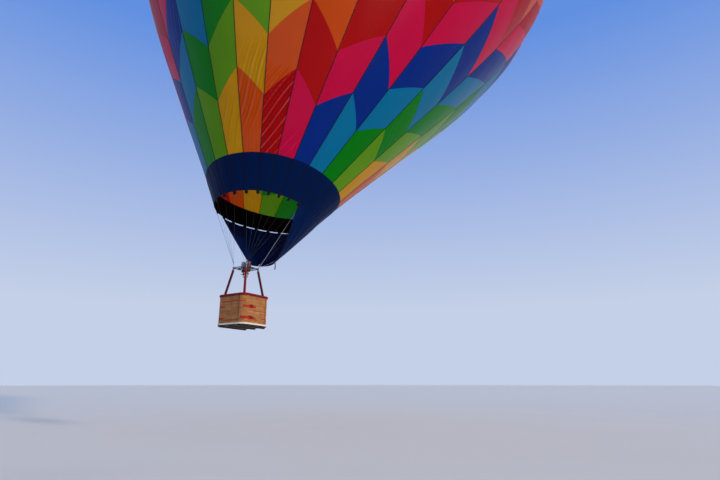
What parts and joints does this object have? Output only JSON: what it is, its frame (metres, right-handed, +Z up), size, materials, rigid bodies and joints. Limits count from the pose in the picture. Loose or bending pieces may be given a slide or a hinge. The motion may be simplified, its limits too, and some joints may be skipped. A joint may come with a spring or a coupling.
{
  "type": "hot air balloon",
  "caption": "Hot air balloon with a striped gored envelope that leans downwind, a scoop, gimballed burners and a wicker basket.",
  "frame": {"origin": "centre of the envelope's widest circle, where the air holds the balloon up", "axes": "+Z up, basket sides along X and Y, the envelope leans towards +Y"},
  "size_m": [20.2676, 19.8015, 26.6266],
  "materials": {
    "crimson_cloth": "coated nylon, slightly glossy",
    "blue_cloth": "coated nylon, slightly glossy",
    "cerulean_cloth": "coated nylon, slightly glossy",
    "green_cloth": "coated nylon, slightly glossy",
    "lime_cloth": "coated nylon, slightly glossy",
    "yellow_cloth": "coated nylon, slightly glossy",
    "orange_cloth": "coated nylon, slightly glossy",
    "red_cloth": "coated nylon, slightly glossy",
    "dark_cloth": "flame resistant cloth, matt",
    "white_cloth": "coated nylon",
    "webbing": "woven load tape",
    "wire": "stainless cable",
    "frame_metal": "brushed stainless tube",
    "dark_metal": "black painted, satin",
    "stainless": "heat stained stainless",
    "copper": "heat stained, coppery",
    "brass": "machined brass",
    "red_pad": "dark red padded cover",
    "wicker": "woven cane, varnished",
    "hide": "raw hide, matt",
    "plywood": "marine plywood",
    "hardwood": "hardwood, worn",
    "alloy": "dull aluminium"
  },
  "bodies": {
    "balloon": {"gore_01": "green_cloth", "gore_02": "lime_cloth", "gore_03": "yellow_cloth", "gore_04": "orange_cloth", "gore_05": "red_cloth", "gore_06": "crimson_cloth", "gore_07": "blue_cloth", "gore_08": "cerulean_cloth", "gore_09": "green_cloth", "gore_10": "lime_cloth", "gore_11": "yellow_cloth", "gore_12": "orange_cloth", "gore_13": "red_cloth", "gore_14": "crimson_cloth", "gore_15": "blue_cloth", "gore_16": "cerulean_cloth", "gore_17": "green_cloth", "gore_18": "lime_cloth", "gore_19": "yellow_cloth", "gore_20": "orange_cloth", "gore_21": "red_cloth", "gore_22": "crimson_cloth", "gore_23": "blue_cloth", "gore_24": "cerulean_cloth", "mouth_band": "dark_cloth", "scoop": "dark_cloth", "crown_ring": "webbing", "flying_wires_1": "wire", "flying_wires_2": "wire", "flying_wires_3": "wire", "flying_wires_4": "wire", "load_frame": "frame_metal", "upright_1": "red_pad", "upright_2": "red_pad", "upright_3": "red_pad", "upright_4": "red_pad", "basket_wall": "wicker", "basket_rim": "red_pad", "basket_floor": "plywood", "hide_band": "hide", "runner_left": "hardwood", "runner_middle": "hardwood", "runner_right": "hardwood", "fuel_cylinder_1": "alloy", "fuel_cylinder_2": "alloy", "fuel_cylinder_3": "alloy", "fuel_cylinder_4": "alloy"},
    "vent": {"parachute_vent": "white_cloth"},
    "gimbal": {"gimbal_ring": "dark_metal"},
    "burner": {"burner_block": "dark_metal", "burner_1": "stainless", "burner_2": "copper", "blast_valve_1": "brass", "blast_valve_2": "brass"}
  },
  "joints": [
    {"name": "vent_slide", "type": "slide", "parent": "balloon", "child": "vent", "axis": [0, 0.3032, 0.9529], "range_m": [-1.2, 0]},
    {"name": "gimbal_tilt_x", "type": "hinge", "parent": "balloon", "child": "gimbal", "pos_m": [-0.146, -5.44483, -16.91443], "axis": [1, 0, 0], "range_deg": [-10, 10]},
    {"name": "burner_tilt_y", "type": "hinge", "parent": "gimbal", "child": "burner", "pos_m": [-0.146, -5.44483, -16.91443], "axis": [0, 1, 0], "range_deg": [-10, 10]}
  ]
}
